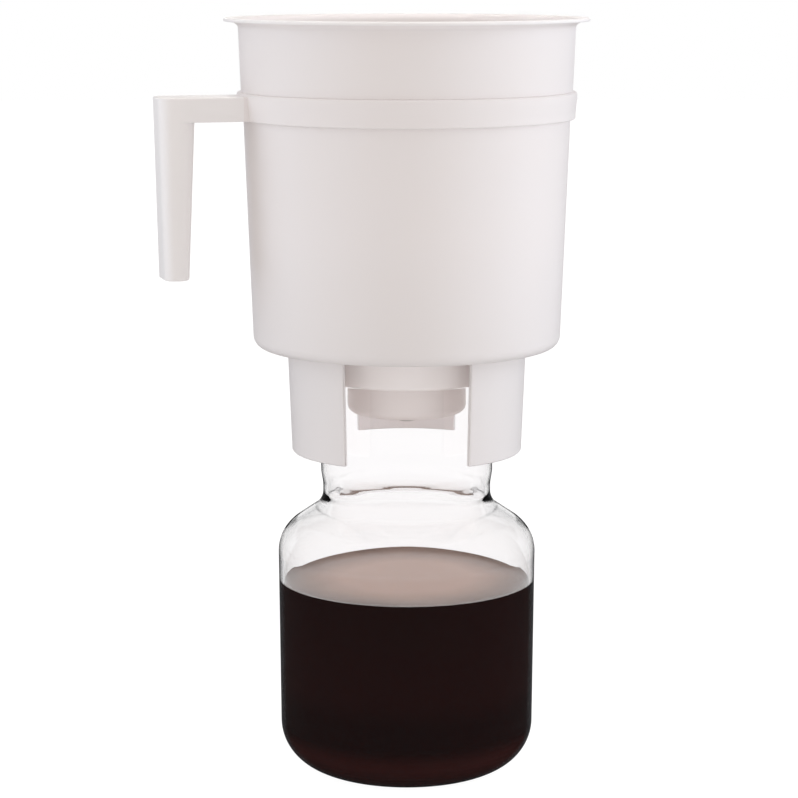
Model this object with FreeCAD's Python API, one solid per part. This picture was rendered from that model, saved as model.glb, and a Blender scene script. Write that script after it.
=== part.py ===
import FreeCAD, Part
import math
import os

# Cold brew coffee maker: a tapered plastic brewing container stands on a glass decanter.
# The container is one moulding: chamber, rim flange, filter well, drain cup and a skirt of
# three legs. A collar with an L-shaped handle slides up onto it from below. A felt filter
# lies in the well, and a rubber stopper closes the drain from below.
#
# Frame: origin at the middle of the decanter's foot, on the table. +Z is up, and -Y is the
# front, where one window of the skirt looks out. Sizes are millimetres and degrees.
# A corner is (radius or x, z, rounding).

# Roundings that several pieces share
FINE_ROUND = 0.5
EDGE_ROUND = 0.8
SOFT_ROUND = 2.0

# Decanter
DECANTER_RADIUS = 63.8
DECANTER_BASE_RADIUS = 62.8
DECANTER_HEIGHT = 196.5
DECANTER_CORNER = 22.8
GLASS_WALL = 2.4
GLASS_BASE = 4.2
GLASS_LIP_ROUND = 0.9
SHOULDER_HEIGHT = 120.8
SHOULDER_ROUND = 17.8
WAIST_RADIUS = 42.3
WAIST_HEIGHT = 132.7
WAIST_ROUND = 12.0
NECK_RADIUS = 42.8
NECK_HEIGHT = 150.0
NECK_BLEND = 6.0

# Coffee in the decanter
COFFEE_LEVEL = 95.6
COFFEE_GAP = 0.1

# Brewing container
PLASTIC = 2.2
FLOOR_HEIGHT = 212.5
FLOOR_RADIUS = 74.95
FLOOR_ROUND = 5.5
CONTAINER_TOP = 371.6
COLLAR_WALL_RADIUS = 79.55
SHOULDER_STEP = 0.6
RIM_NECK_RADIUS = 81.3
RIM_NECK_HEIGHT = 368.0
FLANGE_RADIUS = 88.2
FLANGE_THICKNESS = 1.6
FLANGE_FLARE = 3.0
RIM_MOUTH_FLARE = 1.0
RIM_MOUTH_ROUND = 3.5
RIM_MOUTH_HEIGHT = 365.0

# Filter well and drain cup under the container's floor
WELL_RADIUS = 44.0
WELL_HEIGHT = DECANTER_HEIGHT
WELL_ROUND = 1.5
CUP_RADIUS = 29.2
CUP_HEIGHT = 179.4
CUP_ROUND = 4.3
DRAIN_RADIUS = 10.5
FILTER_RIBS = 6
FILTER_RIB_WIDTH = 1.8
FILTER_RIB_START = 13.0

# Skirt of three legs round the decanter's neck
SKIRT_TOP_RADIUS = 58.5
SKIRT_FOOT_RADIUS = 56.5
SKIRT_FOOT = 160.8
SKIRT_ROOT = 1.0
WINDOW_ANGLE = 62.8
WINDOW_DIRECTIONS = (-90.0, 30.0, 150.0)

# Collar and handle
COLLAR_TOP = 336.5
COLLAR_BOTTOM = 323.4
COLLAR_LEDGE = 329.6
COLLAR_RADIUS = 82.2
COLLAR_LOWER_RADIUS = 81.5
COLLAR_GAP = 0.25
COLLAR_ROUND = 0.3
HANDLE_DIRECTION = 195.5
HANDLE_WIDTH = 24.5
ARM_TOP = 335.3
ARM_BOTTOM = 323.6
ARM_ROOT = 3.0
GRIP_OUTER_TOP = 123.1
GRIP_OUTER_FOOT = 121.3
GRIP_INNER_TOP = 104.7
GRIP_INNER_FOOT = 108.8
GRIP_FOOT = 249.0
GRIP_OUTER_ROUND = 6.5
GRIP_INNER_ROUND = 2.5
GRIP_WALL = 2.4

# Felt filter and stopper
FILTER_RADIUS = 41.5
FILTER_THICKNESS = 9.0
FILTER_ROUND = 1.5
STOPPER_GAP = 0.3
STOPPER_PLUG = 6.5
STOPPER_TAPER = 0.7
STOPPER_FLANGE_RADIUS = 12.5
STOPPER_FLANGE = 2.0
STOPPER_KNOB_RADIUS = 4.0
STOPPER_KNOB = 2.6

OVERLAP = 1.0
V = FreeCAD.Vector
AXIS = V(0, 0, 1)


def unit(start, end):
    """Unit vector from one point to the next."""
    return (end - start).normalize()


def rounded_wire(corners):
    """Closed wire in the XZ plane through the corners, each rounded by its own radius."""
    points = [V(x, 0, z) for x, z, _ in corners]
    edges = []
    starts = []
    ends = []
    for index, (_, _, radius) in enumerate(corners):
        here = points[index]
        back = unit(here, points[index - 1])
        ahead = unit(here, points[(index + 1) % len(points)])
        half = back.getAngle(ahead) / 2
        reach = radius / math.tan(half) if radius else 0.0
        starts.append(here + back * reach)
        ends.append(here + ahead * reach)
        if radius:
            inward = unit(V(), back + ahead)
            centre = here + inward * (radius / math.sin(half))
            middle = centre - inward * radius
            edges.append(Part.Arc(starts[-1], middle, ends[-1]).toShape())
    for index, end in enumerate(ends):
        start = starts[(index + 1) % len(starts)]
        if end.distanceToPoint(start) > 1e-6:
            edges.append(Part.LineSegment(end, start).toShape())
    return Part.Wire(Part.sortEdges(edges)[0])


def turned(corners):
    """Solid of revolution about Z from its half outline."""
    return Part.Face(rounded_wire(corners)).revolve(V(), AXIS, 360)


def turned_to(solid, direction):
    """Turn a solid that was made along +X to a direction in the XY plane."""
    solid.rotate(V(), AXIS, direction)
    return solid


def wall_radius(z):
    """Outer radius of the container's tapered wall, from the floor to the collar's top."""
    slope = (COLLAR_WALL_RADIUS - FLOOR_RADIUS) / (COLLAR_TOP - FLOOR_HEIGHT)
    return FLOOR_RADIUS + slope * (z - FLOOR_HEIGHT)


def decanter():
    """Clear glass jar: round base corner, straight body, round shoulder and a short neck."""
    neck_start = NECK_HEIGHT - NECK_BLEND
    outer = [
        (0, 0, 0),
        (DECANTER_BASE_RADIUS, 0, DECANTER_CORNER),
        (DECANTER_RADIUS, SHOULDER_HEIGHT, SHOULDER_ROUND),
        (WAIST_RADIUS, WAIST_HEIGHT, WAIST_ROUND),
        (WAIST_RADIUS, neck_start, NECK_BLEND),
        (NECK_RADIUS, NECK_HEIGHT, NECK_BLEND),
        (NECK_RADIUS, DECANTER_HEIGHT, GLASS_LIP_ROUND),
    ]
    inner = [
        (NECK_RADIUS - GLASS_WALL, DECANTER_HEIGHT, GLASS_LIP_ROUND),
        (NECK_RADIUS - GLASS_WALL, NECK_HEIGHT, NECK_BLEND),
        (WAIST_RADIUS - GLASS_WALL, neck_start, NECK_BLEND),
        (WAIST_RADIUS - GLASS_WALL, WAIST_HEIGHT - GLASS_WALL, WAIST_ROUND + GLASS_WALL),
        (DECANTER_RADIUS - GLASS_WALL, SHOULDER_HEIGHT - GLASS_WALL, SHOULDER_ROUND - GLASS_WALL),
        (DECANTER_BASE_RADIUS - GLASS_WALL, GLASS_BASE, DECANTER_CORNER - GLASS_WALL),
        (0, GLASS_BASE, 0),
    ]
    return turned(outer + inner)


def coffee():
    """Brewed coffee that fills the decanter's body up to its level."""
    skin = GLASS_WALL + COFFEE_GAP
    bottom = GLASS_BASE + COFFEE_GAP
    slope = (DECANTER_RADIUS - DECANTER_BASE_RADIUS) / (SHOULDER_HEIGHT - GLASS_WALL)
    surface_radius = DECANTER_BASE_RADIUS + slope * (COFFEE_LEVEL - GLASS_BASE) - skin
    return turned([
        (0, bottom, 0),
        (DECANTER_BASE_RADIUS - skin, bottom, DECANTER_CORNER - skin),
        (surface_radius, COFFEE_LEVEL, 0),
        (0, COFFEE_LEVEL, 0),
    ])


def container_shell():
    """Chamber, flange, filter well and drain cup as one turned shell."""
    flange_under = CONTAINER_TOP - FLANGE_THICKNESS
    outer = [
        (DRAIN_RADIUS, CUP_HEIGHT, FINE_ROUND),
        (CUP_RADIUS, CUP_HEIGHT, CUP_ROUND),
        (CUP_RADIUS, WELL_HEIGHT, EDGE_ROUND),
        (WELL_RADIUS, WELL_HEIGHT, WELL_ROUND),
        (WELL_RADIUS, FLOOR_HEIGHT, SOFT_ROUND),
        (FLOOR_RADIUS, FLOOR_HEIGHT, FLOOR_ROUND),
        (COLLAR_WALL_RADIUS, COLLAR_TOP, 0),
        (COLLAR_WALL_RADIUS + SHOULDER_STEP, COLLAR_TOP, 0),
        (RIM_NECK_RADIUS, RIM_NECK_HEIGHT, SOFT_ROUND),
        (RIM_NECK_RADIUS + FLANGE_FLARE, flange_under, SOFT_ROUND),
        (FLANGE_RADIUS, flange_under, FINE_ROUND),
        (FLANGE_RADIUS, CONTAINER_TOP, EDGE_ROUND),
    ]
    well_bore = WELL_RADIUS - PLASTIC
    cup_bore = CUP_RADIUS - PLASTIC
    inner = [
        (RIM_NECK_RADIUS - PLASTIC + RIM_MOUTH_FLARE, CONTAINER_TOP, RIM_MOUTH_ROUND),
        (RIM_NECK_RADIUS - PLASTIC, RIM_MOUTH_HEIGHT, 0),
        (COLLAR_WALL_RADIUS - PLASTIC, COLLAR_TOP, 0),
        (FLOOR_RADIUS - PLASTIC, FLOOR_HEIGHT + PLASTIC, FLOOR_ROUND - PLASTIC),
        (well_bore, FLOOR_HEIGHT + PLASTIC, SOFT_ROUND),
        (well_bore, WELL_HEIGHT + PLASTIC, EDGE_ROUND),
        (cup_bore, WELL_HEIGHT + PLASTIC, EDGE_ROUND),
        (cup_bore, CUP_HEIGHT + PLASTIC, SOFT_ROUND),
        (DRAIN_RADIUS, CUP_HEIGHT + PLASTIC, FINE_ROUND),
    ]
    return turned(outer + inner)


def skirt():
    """Ring below the floor, cut by three windows into three legs."""
    top = FLOOR_HEIGHT + SKIRT_ROOT
    ring = turned([
        (SKIRT_FOOT_RADIUS - PLASTIC, SKIRT_FOOT, EDGE_ROUND),
        (SKIRT_FOOT_RADIUS, SKIRT_FOOT, EDGE_ROUND),
        (SKIRT_TOP_RADIUS, top, 0),
        (SKIRT_TOP_RADIUS - PLASTIC, top, 0),
    ])
    reach = SKIRT_TOP_RADIUS + OVERLAP
    base = V(0, 0, SKIRT_FOOT - OVERLAP)
    height = top - SKIRT_FOOT + 2 * OVERLAP
    windows = []
    for direction in WINDOW_DIRECTIONS:
        window = Part.makeCylinder(reach, height, base, AXIS, WINDOW_ANGLE)
        windows.append(turned_to(window, direction - WINDOW_ANGLE / 2))
    return ring.cut(windows)


def filter_ribs():
    """Radial ribs across the drain cup that hold the felt up."""
    floor = CUP_HEIGHT + PLASTIC / 2
    length = CUP_RADIUS - PLASTIC / 2 - FILTER_RIB_START
    height = WELL_HEIGHT + PLASTIC - floor
    corner = V(FILTER_RIB_START, -FILTER_RIB_WIDTH / 2, floor)
    ribs = []
    for index in range(FILTER_RIBS):
        rib = Part.makeBox(length, FILTER_RIB_WIDTH, height, corner)
        ribs.append(turned_to(rib, 360.0 * index / FILTER_RIBS))
    return ribs


def brewing_container():
    """The whole white moulding."""
    return container_shell().fuse([skirt()] + filter_ribs()).removeSplitter()


def grip_section(inner, outer, z, inset=0.0):
    """Wire of the grip's section at one height, rounded at its corners."""
    half = HANDLE_WIDTH / 2 - inset
    near = inner + inset
    far = outer - inset
    near_round = GRIP_INNER_ROUND - inset / 2
    far_round = GRIP_OUTER_ROUND - inset
    wire = rounded_wire([
        (near, -half, near_round),
        (far, -half, far_round),
        (far, half, far_round),
        (near, half, near_round),
    ])
    wire.rotate(V(), V(1, 0, 0), -90)
    wire.translate(V(0, 0, z))
    return wire


def grip():
    """Hanging grip, drawn in towards its foot and cored out from below."""
    outside = Part.makeLoft([
        grip_section(GRIP_INNER_FOOT, GRIP_OUTER_FOOT, GRIP_FOOT),
        grip_section(GRIP_INNER_TOP, GRIP_OUTER_TOP, ARM_TOP),
    ], True, True)
    core = Part.makeLoft([
        grip_section(GRIP_INNER_FOOT, GRIP_OUTER_FOOT, GRIP_FOOT, GRIP_WALL),
        grip_section(GRIP_INNER_TOP, GRIP_OUTER_TOP, ARM_TOP - GRIP_WALL, GRIP_WALL),
    ], True, True)
    return outside.cut(core)


def arm():
    """Level arm that starts inside the collar's ring and ends in the grip's inner wall."""
    start = COLLAR_LOWER_RADIUS - ARM_ROOT
    length = GRIP_INNER_TOP + GRIP_WALL - start
    corner = V(start, -HANDLE_WIDTH / 2, ARM_BOTTOM)
    return Part.makeBox(length, HANDLE_WIDTH, ARM_TOP - ARM_BOTTOM, corner)


def collar_bore():
    """Cone that the collar clears: the container's wall with the fitting gap."""
    bottom = COLLAR_BOTTOM - OVERLAP
    top = COLLAR_TOP + OVERLAP
    low = wall_radius(bottom) + COLLAR_GAP
    high = wall_radius(top) + COLLAR_GAP
    return Part.makeCone(low, high, top - bottom, V(0, 0, bottom), AXIS)


def handle():
    """Collar ring with a level arm and a straight grip that hangs from it."""
    ring = turned([
        (wall_radius(COLLAR_BOTTOM) + COLLAR_GAP, COLLAR_BOTTOM, COLLAR_ROUND),
        (COLLAR_LOWER_RADIUS, COLLAR_BOTTOM, FINE_ROUND),
        (COLLAR_LOWER_RADIUS, COLLAR_LEDGE, COLLAR_ROUND),
        (COLLAR_RADIUS, COLLAR_LEDGE, COLLAR_ROUND),
        (COLLAR_RADIUS, COLLAR_TOP, FINE_ROUND),
        (wall_radius(COLLAR_TOP) + COLLAR_GAP, COLLAR_TOP, COLLAR_ROUND),
    ])
    lever = turned_to(arm().cut(collar_bore()).fuse(grip()), HANDLE_DIRECTION)
    return ring.fuse(lever).removeSplitter()


def felt_filter():
    """Thick felt disc in the filter well."""
    bottom = WELL_HEIGHT + PLASTIC
    top = bottom + FILTER_THICKNESS
    return turned([
        (0, bottom, 0),
        (FILTER_RADIUS, bottom, FILTER_ROUND),
        (FILTER_RADIUS, top, FILTER_ROUND),
        (0, top, 0),
    ])


def stopper():
    """Rubber plug with a flange and a pull knob, pushed into the drain from below."""
    plug_radius = DRAIN_RADIUS - STOPPER_GAP
    plug_top = CUP_HEIGHT + STOPPER_PLUG
    flange_bottom = CUP_HEIGHT - STOPPER_FLANGE
    knob_bottom = flange_bottom - STOPPER_KNOB
    return turned([
        (0, knob_bottom, 0),
        (STOPPER_KNOB_RADIUS, knob_bottom, EDGE_ROUND),
        (STOPPER_KNOB_RADIUS, flange_bottom, EDGE_ROUND),
        (STOPPER_FLANGE_RADIUS, flange_bottom, EDGE_ROUND),
        (STOPPER_FLANGE_RADIUS, CUP_HEIGHT, FINE_ROUND),
        (plug_radius, CUP_HEIGHT, 0),
        (plug_radius - STOPPER_TAPER, plug_top, EDGE_ROUND),
        (0, plug_top, 0),
    ])


PIECES = {
    "decanter": decanter,
    "coffee": coffee,
    "brewing_container": brewing_container,
    "handle": handle,
    "felt_filter": felt_filter,
    "stopper": stopper,
}

os.makedirs("parts", exist_ok=True)
for name, make in PIECES.items():
    make().exportStep("parts/" + name + ".step")
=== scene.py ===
import math

import bmesh
import bpy
from bpy.props import FloatProperty, FloatVectorProperty, PointerProperty
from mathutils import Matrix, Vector


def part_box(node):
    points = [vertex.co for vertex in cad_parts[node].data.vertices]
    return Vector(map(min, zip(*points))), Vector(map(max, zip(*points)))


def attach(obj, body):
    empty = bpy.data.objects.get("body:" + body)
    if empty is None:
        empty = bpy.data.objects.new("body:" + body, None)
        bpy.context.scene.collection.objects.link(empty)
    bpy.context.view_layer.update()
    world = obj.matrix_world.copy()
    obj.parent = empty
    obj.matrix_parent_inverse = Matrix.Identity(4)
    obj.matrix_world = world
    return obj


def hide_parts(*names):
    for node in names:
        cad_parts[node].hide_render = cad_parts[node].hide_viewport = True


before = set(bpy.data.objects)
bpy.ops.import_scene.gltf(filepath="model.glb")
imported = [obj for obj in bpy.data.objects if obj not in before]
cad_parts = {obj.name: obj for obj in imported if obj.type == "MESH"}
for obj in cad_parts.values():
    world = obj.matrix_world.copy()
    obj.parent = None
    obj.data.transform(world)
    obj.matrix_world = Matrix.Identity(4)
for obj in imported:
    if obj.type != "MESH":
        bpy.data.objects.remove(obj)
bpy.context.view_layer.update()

bl_info = {
    "name": "Cold Brew Coffee Maker",
    "version": (1, 0, 0),
    "blender": (4, 5, 0),
    "location": "3D View > Sidebar > Brewer",
    "description": "Builds a cold brew coffee maker round its packed solids, piece by piece",
    "category": "Add Mesh",
}

# Shapes are given in millimetres and made in metres. A corner is (radius or x, z, rounding).
MM = 0.001
TURN_STEPS = 252
ARC_STEP = 7.5
GLASS_ARC_STEP = 3.0
EASE = 0.35
WELD = 0.002 * MM
SMOOTH_ANGLE = math.radians(34)

# For picking faces and edges: tolerances of their place, the angle of a sharp edge, the
# normal of a face that looks down, and how far an upright edge rises for its length
TOUCH = 0.01
NEAR = 0.1
MARGIN = 1.0
SHARP = 1.0
DOWN = -0.99
UPRIGHT = 0.9

DECANTER_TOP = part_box("decanter")[1].z / MM
CONTAINER_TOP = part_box("brewing_container")[1].z / MM
RIM_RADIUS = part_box("brewing_container")[1].x / MM
COFFEE_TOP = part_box("coffee")[1].z / MM
FELT_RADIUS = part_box("felt_filter")[1].x / MM
FELT_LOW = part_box("felt_filter")[0].z / MM
FELT_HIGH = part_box("felt_filter")[1].z / MM

STEP_ROUND = 0.2
FINE_ROUND = 0.5
EDGE_ROUND = 0.8
SOFT_ROUND = 2.0

# Decanter
JAR_BASE_RADIUS = 62.8
JAR_CORNER = 22.8
JAR_PUNT = 1.3
JAR_PUNT_RADIUS = 33.0
JAR_PUNT_ROUND = 6.0
JAR_FOOT_RADIUS = 37.5
JAR_FOOT_ROUND = 2.5
SHOULDER_HEIGHT = 119.3
SHOULDER_ROUND = 19.0
WAIST_RADIUS = 41.4
WAIST_HEIGHT = 134.6
WAIST_ROUND = 10.0
WAIST_TOP = 144.0
NECK_RADIUS = 42.4
NECK_HEIGHT = 150.0
NECK_ROUND = 14.0
LIP_ROUND = 0.5
INNER_DROP = 0.5
INNER_WAIST_DROP = 2.3
INNER_WAIST_ROUND = 9.0

# Coffee: it wets the glass, so its skin lies a little inside the wall
WETTING = 0.12
MENISCUS_RISE = 1.5
MENISCUS_REACH = 2.0
MENISCUS_POINTS = (0.15, 0.35, 0.6, 1.0, 1.6, 2.4, 3.6, 5.0)
SURFACE_SLOPE = 0.2

# Brewing container
FLOOR_HEIGHT = 212.5
FLOOR_RADIUS = 74.95
FLOOR_ROUND = 5.5
COLLAR_WALL_RADIUS = 79.55
SHOULDER_STEP = 0.6
RIM_NECK_RADIUS = 81.3
RIM_NECK_HEIGHT = 368.0
FLANGE_THICKNESS = 1.6
FLANGE_FLARE = 3.0
RIM_MOUTH_FLARE = 1.0
RIM_MOUTH_ROUND = 3.5
RIM_MOUTH_HEIGHT = 365.0
WELL_RADIUS = 44.0
WELL_ROUND = 1.5
CUP_RADIUS = 29.2
CUP_HEIGHT = 179.4
CUP_ROUND = 4.3
DRAIN_RADIUS = 10.5
SKIRT_TOP_RADIUS = 58.5
SKIRT_FOOT_RADIUS = 56.5
SKIRT_FOOT = 160.8
SKIRT_ROUND = 0.6
WINDOW_ANGLE = 62.8
LEGS = 3
LEG_SPACING = 360.0 / LEGS
FIRST_WINDOW = 30.0
WINDOW_STEPS = 44
LEG_STEPS = 40
RIBS = 6
RIB_WIDTH = 1.8
RIB_START = 13.0

# Collar and handle
COLLAR_TOP = 336.5
COLLAR_BOTTOM = 323.4
COLLAR_LEDGE = 329.6
COLLAR_RADIUS = 82.2
COLLAR_LOWER_RADIUS = 81.5
COLLAR_GAP = 0.08
COLLAR_TOP_ROUND = 1.3
COLLAR_INNER_ROUND = 0.3
COLLAR_EASE = 3.4
COLLAR_EASE_ROUND = 22.0
HANDLE_DIRECTION = 195.5
ARM_START = 80.4
ARM_END = 115.2
ARM_TOP = 335.3
ARM_BOTTOM = 323.6
ARM_ROUND = 0.9
FLUSH = 0.02
GRIP_OUTER_TOP = 123.1
GRIP_OUTER_FOOT = 121.3
GRIP_INNER_TOP = 104.7
GRIP_INNER_FOOT = 108.8
GRIP_TOP_MIDDLE = (GRIP_INNER_TOP + GRIP_OUTER_TOP) / 2
GRIP_FOOT_MIDDLE = (GRIP_INNER_FOOT + GRIP_OUTER_FOOT) / 2
GRIP_FOOT = 249.0
GRIP_OUTER_ROUND = 6.5
GRIP_INNER_ROUND = 9.0
GRIP_WALL = 2.4
GRIP_FOOT_AREA = 50.0

# Felt
FELT_GAP = 0.1
FELT_LOW_ROUND = 1.5
FELT_HIGH_ROUND = 2.2
FELT_FLAT = 0.93
FELT_RINGS = 16
FELT_STEPS = 128
FELT_LUMP_SIZE = 6.0
FELT_LUMP_DEPTH = 0.25

# Stopper
STOPPER_GAP = 0.3
STOPPER_PLUG = 6.5
STOPPER_TAPER = 0.7
STOPPER_FLANGE_RADIUS = 12.5
STOPPER_FLANGE = 2.0
STOPPER_KNOB_RADIUS = 4.0
STOPPER_KNOB = 2.6
STOPPER_STEPS = 96

# Plastic: mottled between a warmer and a cooler tone, and polished along its edges
PLASTIC_WARM = (1.0, 0.985, 0.975)
PLASTIC_COOL = (0.985, 0.99, 1.0)
PLASTIC_UNEVEN = 0.05
PLASTIC_POLISH = 0.12
PEEL_SHARE = 0.25
# Painted shade makes it a little greyer low down, and painted light, standing in for light through
# the walls, makes it lighter inside the skirt
LOW_FADE_START = 272.0
LOW_PAINTED_SHADE = 0.935
SKIRT_INSIDE = 55.5
INSIDE_PAINTED_LIGHT = 1.11
# Painted light makes the lever, which stands clear of the walls, a little lighter and cooler than
# the collar
LEVER_START = 84.0
LEVER_PAINTED_LIGHT = (1.05, 1.07, 1.075)

# Glass: where its painted dark edge starts, where it is full, and how much of it
GLASS_EDGE_FADE = (0.72, 0.88)
GLASS_EDGE_SHARE = 0.75
GLASS_TINTS = ((0.955, 0.95, 0.954), (0.967, 0.962, 0.966))
GLASS_CLEAR = (0.985, 0.975, 0.97, 1)
# How far an outer wall's normal points up, and the share of the painted dark edge there
WALL_SLOPES = (0.1, 0.5)
SLOPE_SHARES = (1.0, 0.1)

# Coffee: share of its colour at parts of its height, painted light that makes it redder low down,
# and pale painted light on its surface, whose middle lies behind the axis and whose edge wanders
COFFEE_PAINTED_GLOW = ((0.05, 2.6), (0.14, 2.9), (0.25, 0.75), (0.34, 0.7), (0.5, 1.15), (1.0, 0.95))
COFFEE_CLOUDS = ((0.8, 0.8, 0.8), (1, 1, 1))
SURFACE_LIGHT_DRIFT = 6.0
SURFACE_LIGHT_WANDER = 7.0
SURFACE_LIGHT_START = 34.0
SURFACE_LIGHT_END = 64.0
SURFACE_LIGHT_EDGE_SHADE = 0.2

# Felt between its fibres and on them, and rubber along its rubbed edges
FELT_DARK = 0.78
FELT_LIGHT = 1.12
RUBBED_LIFT = 1.7

# Stage, in metres: table, surroundings, lamps and camera
TABLE_RADIUS = 6.0
TABLE_SEEN = (0.2, 0.2, 0.2, 1)
TABLE_GLOW = 0.94
TABLE_LIT = (0.86, 0.86, 0.86, 1)
FILL = 0.837
FILL_COLOUR = (1.0, 0.938, 0.902, 1)
SEEN_RAYS = ("Is Camera Ray", "Is Transmission Ray")
# Brightness of the surroundings in reflections, from the front, 0, to straight behind, 1
REFLECTED_TABLE = 0.03
REFLECTED_ROOM = ((0.0, 0.06), (0.5, 0.25), (0.8, 0.26), (0.9, 0.22), (0.97, 0.24), (0.992, 1.0))
# A lamp is (name, place, width and height, power, colour, spread in degrees)
LAMPS = (
    ("lamp_top", (0, 0, 1.2), (0.2, 0.2), 0.06, (1.0, 0.96, 0.93), 16.0),
    ("lamp_right", (1.218, -0.107, 0.5), (0.6, 1.1), 6.0, (0.77, 0.87, 1.0), 180.0),
    ("lamp_left", (-1.218, -0.107, 0.5), (0.6, 1.1), 3.4, (0.69, 0.83, 1.0), 180.0),
)
LAMP_AIM = (0, 0, 0.24)
CAMERA_PLACE = (-0.0038, -1.240, 0.401)
CAMERA_PITCH = 9.87
CAMERA_SENSOR = 36.0
CAMERA_CLIP = (0.05, 30.0)
# The lens is worked out from its focal length and the picture's width, both in pixels
FOCAL_PIXELS = 2550
PICTURE_PIXELS = 798


class BrewerSizes(bpy.types.PropertyGroup):
    """Sizes of the brewer that a user would change."""

    glass_wall: FloatProperty(
        name="Glass wall", description="Thickness of the decanter's wall",
        default=2.4 * MM, min=1.0 * MM, unit="LENGTH")
    glass_base: FloatProperty(
        name="Glass base", description="Thickness of the decanter's foot",
        default=4.2 * MM, min=2.0 * MM, unit="LENGTH")
    jar_radius: FloatProperty(
        name="Decanter radius", description="Radius of the decanter's body at the shoulder",
        default=63.8 * MM, unit="LENGTH")
    coffee_level: FloatProperty(
        name="Coffee level", description="Height of the coffee's surface over the table",
        default=COFFEE_TOP * MM, unit="LENGTH")
    plastic_wall: FloatProperty(
        name="Plastic wall", description="Thickness of the container's wall",
        default=2.2 * MM, min=1.2 * MM, unit="LENGTH")
    handle_width: FloatProperty(
        name="Handle width", description="Width of the arm and the grip",
        default=24.5 * MM, unit="LENGTH")
    felt_crown: FloatProperty(
        name="Felt crown", description="How much higher the felt is in its middle",
        default=0.5 * MM, unit="LENGTH")


class BrewerFinishes(bpy.types.PropertyGroup):
    """Colours and finishes of the brewer that a user would change."""

    plastic: FloatVectorProperty(
        name="Plastic", description="Colour of the container and the handle",
        subtype="COLOR", size=3, min=0, max=1, default=(0.88, 0.852, 0.846))
    plastic_roughness: FloatProperty(
        name="Plastic roughness", description="Roughness of the moulded plastic",
        default=0.42, min=0, max=1, subtype="FACTOR")
    # Painted shade: the glass's dark edge, standing in for dark surroundings seen through it edge
    # on
    glass_edge_shade: FloatVectorProperty(
        name="Glass edge", description="Colour of the glass where it is seen edge on",
        subtype="COLOR", size=3, min=0, max=1, default=(0.05, 0.052, 0.055))
    coffee: FloatVectorProperty(
        name="Coffee", description="Colour of the coffee against the glass",
        subtype="COLOR", size=3, min=0, max=1, default=(0.0102, 0.0021, 0.0018))
    # Painted light on the coffee's surface, pale in its middle
    coffee_surface_light: FloatVectorProperty(
        name="Coffee film",
        description="Colour of the film in the middle of the coffee's surface",
        subtype="COLOR", size=3, min=0, max=1, default=(0.45, 0.285, 0.215))
    felt: FloatVectorProperty(
        name="Felt", description="Colour of the felt filter",
        subtype="COLOR", size=3, min=0, max=1, default=(0.72, 0.64, 0.52))
    rubber: FloatVectorProperty(
        name="Rubber", description="Colour of the stopper",
        subtype="COLOR", size=3, min=0, max=1, default=(0.56, 0.54, 0.53))


# ---------------------------------------------------------------- modelling helpers


def rounded(corners, closed, arc_step):
    """Points of an outline through its corners, each rounded, with a point near each end
    of a straight run so that smooth shading stays flat on it."""
    points = []
    count = len(corners)
    for index, (x, z, radius) in enumerate(corners):
        here = Vector((x, z))
        at_end = not closed and index in (0, count - 1)
        if at_end or not radius:
            points.append((here, radius))
            continue
        back = (Vector(corners[index - 1][:2]) - here).normalized()
        ahead = (Vector(corners[(index + 1) % count][:2]) - here).normalized()
        half = back.angle(ahead) / 2
        centre = here + (back + ahead).normalized() * (radius / math.sin(half))
        start = here + back * (radius / math.tan(half))
        sweep = math.pi - 2 * half
        side = back.x * ahead.y - back.y * ahead.x
        turn = sweep if side < 0 else -sweep
        steps = max(2, math.ceil(math.degrees(sweep) / arc_step))
        arm = start - centre
        for step in range(steps + 1):
            angle = turn * step / steps
            cosine, sine = math.cos(angle), math.sin(angle)
            spoke = Vector((arm.x * cosine - arm.y * sine, arm.x * sine + arm.y * cosine))
            points.append((centre + spoke, radius))
    if closed:
        points.append(points[0])
    eased = [points[0][0]]
    for (before, _), (after, _) in zip(points, points[1:]):
        run = (after - before).length
        if run > 4 * EASE:
            along = (after - before) / run * EASE
            eased += [before + along, after - along]
        eased.append(after)
    return eased


def deselect_all():
    """Leave nothing selected, in object mode."""
    if bpy.context.mode != "OBJECT":
        bpy.ops.object.mode_set(mode="OBJECT")
    bpy.ops.object.select_all(action="DESELECT")


def only(piece):
    """Make this piece the one selected and active object."""
    deselect_all()
    piece.select_set(True)
    bpy.context.view_layer.objects.active = piece


def named(piece, name):
    """Give an object and its data the same name."""
    piece.name = name
    piece.data.name = name
    return piece


def begin_outline(name, points):
    """Draw an outline in the XZ plane: one vertex, extruded from point to point."""
    deselect_all()
    first = points[0]
    bpy.ops.mesh.primitive_plane_add(size=MM, location=(first.x * MM, 0, first.y * MM))
    piece = named(bpy.context.object, name)
    bpy.ops.object.transform_apply(location=True, rotation=False, scale=False)
    bpy.ops.object.mode_set(mode="EDIT")
    bpy.ops.mesh.select_mode(type="VERT")
    bpy.ops.mesh.select_all(action="SELECT")
    bpy.ops.mesh.merge(type="CENTER")
    for before, after in zip(points, points[1:]):
        step = (after - before) * MM
        bpy.ops.mesh.extrude_vertices_move(
            TRANSFORM_OT_translate={"value": (step.x, 0, step.y)})
    bpy.ops.mesh.select_all(action="SELECT")
    return piece


def weld():
    """Merge doubled vertices and turn all faces outwards, in edit mode."""
    bpy.ops.mesh.select_all(action="SELECT")
    bpy.ops.mesh.remove_doubles(threshold=WELD)
    bpy.ops.mesh.normals_make_consistent(inside=False)


def turned(name, corners, closed=False, sectors=((360.0, TURN_STEPS),), arc_step=ARC_STEP):
    """Spin an outline round the Z axis, sector by sector, to one closed skin."""
    piece = begin_outline(name, rounded(corners, closed, arc_step))
    for angle, steps in sectors:
        bpy.ops.mesh.spin(
            steps=steps, angle=math.radians(angle), center=(0, 0, 0), axis=(0, 0, 1))
    weld()
    bpy.ops.object.mode_set(mode="OBJECT")
    return piece


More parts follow.
